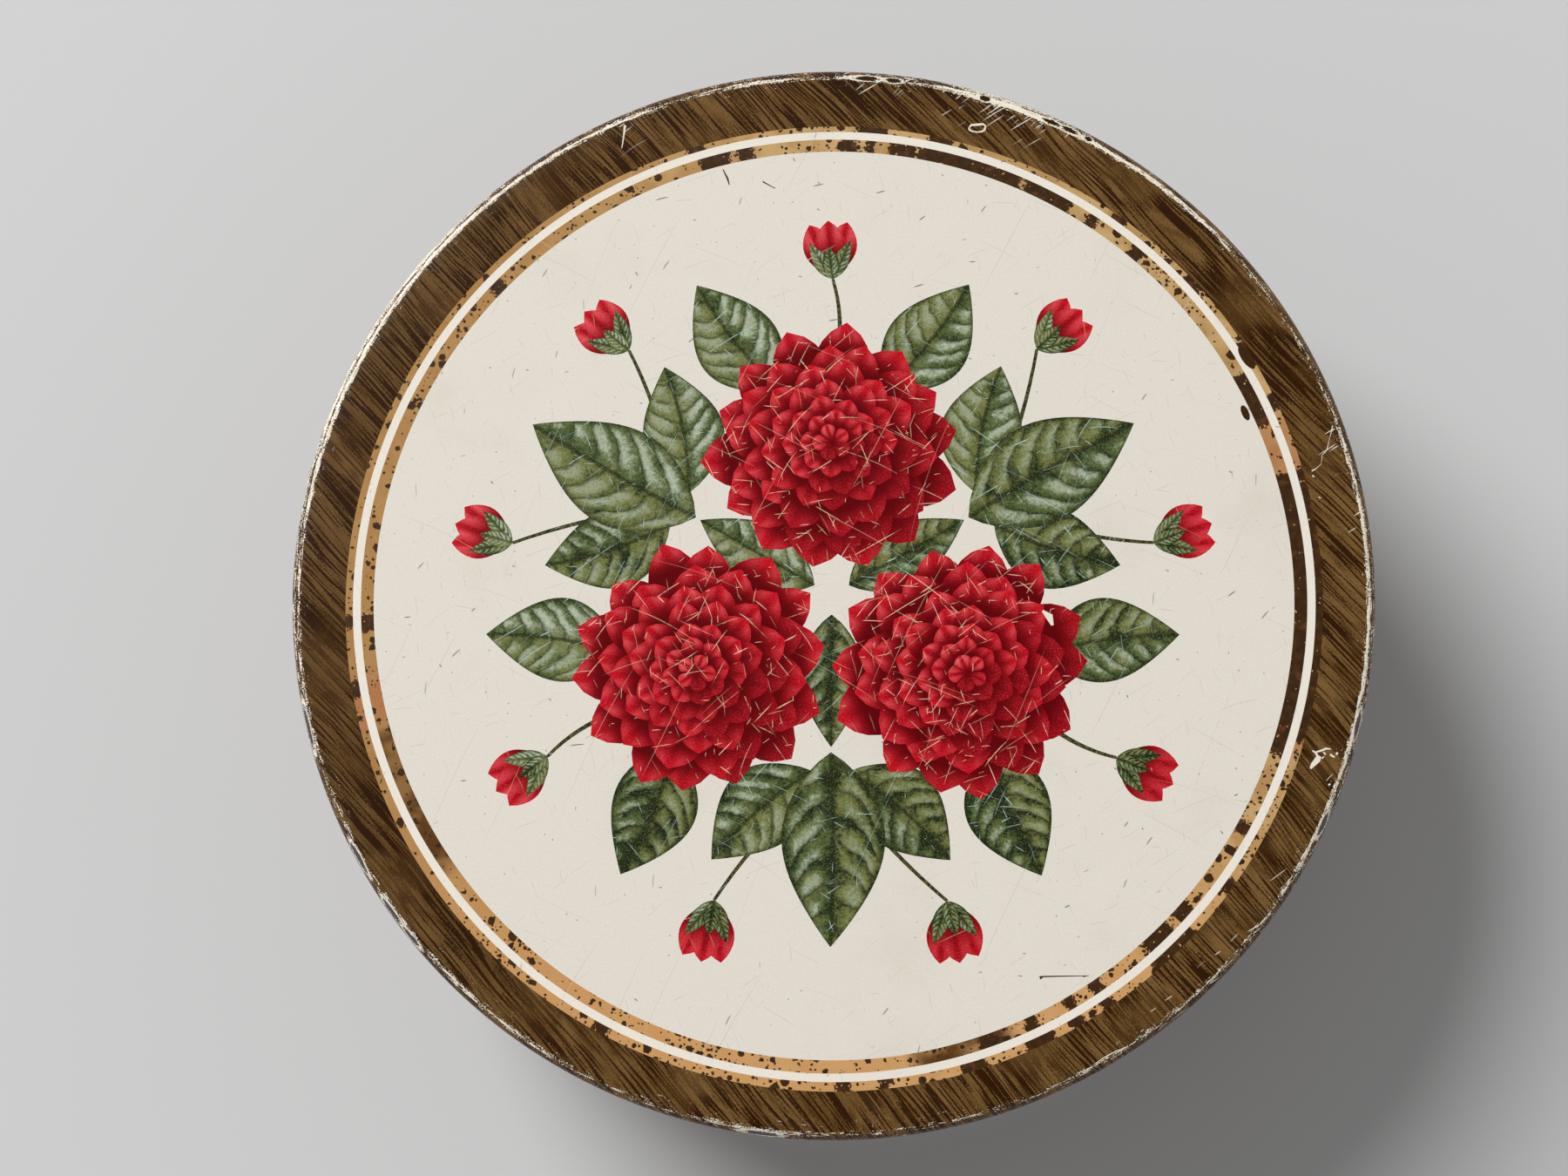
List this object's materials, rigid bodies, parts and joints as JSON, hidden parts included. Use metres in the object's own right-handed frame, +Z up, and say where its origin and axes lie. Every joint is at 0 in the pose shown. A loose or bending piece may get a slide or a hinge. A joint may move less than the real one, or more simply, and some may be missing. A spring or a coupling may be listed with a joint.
{
  "type": "round box",
  "caption": "Round sheet-metal box with a lift-off slip lid, a rolled wall with curled rim and a double-seamed base; holds dry food.",
  "frame": {"origin": "centre of the ring that the box stands on, at the bottom of the base seam", "axes": "+Z up along the box's axis, out through the lid; +Y towards the wall's lock seam, the top of the picture"},
  "size_m": [0.22, 0.22, 0.078],
  "materials": {
    "printed_lid": "satin",
    "printed_wall": "satin",
    "bare_base": "satin"
  },
  "bodies": {
    "box": {"body_wall": "printed_wall", "base": "bare_base"},
    "lid": {"lid": "printed_lid"}
  },
  "joints": [
    {"name": "lid_lift", "type": "slide", "parent": "box", "child": "lid", "axis": [0, 0, 1], "range_m": [0, 0.12]}
  ]
}
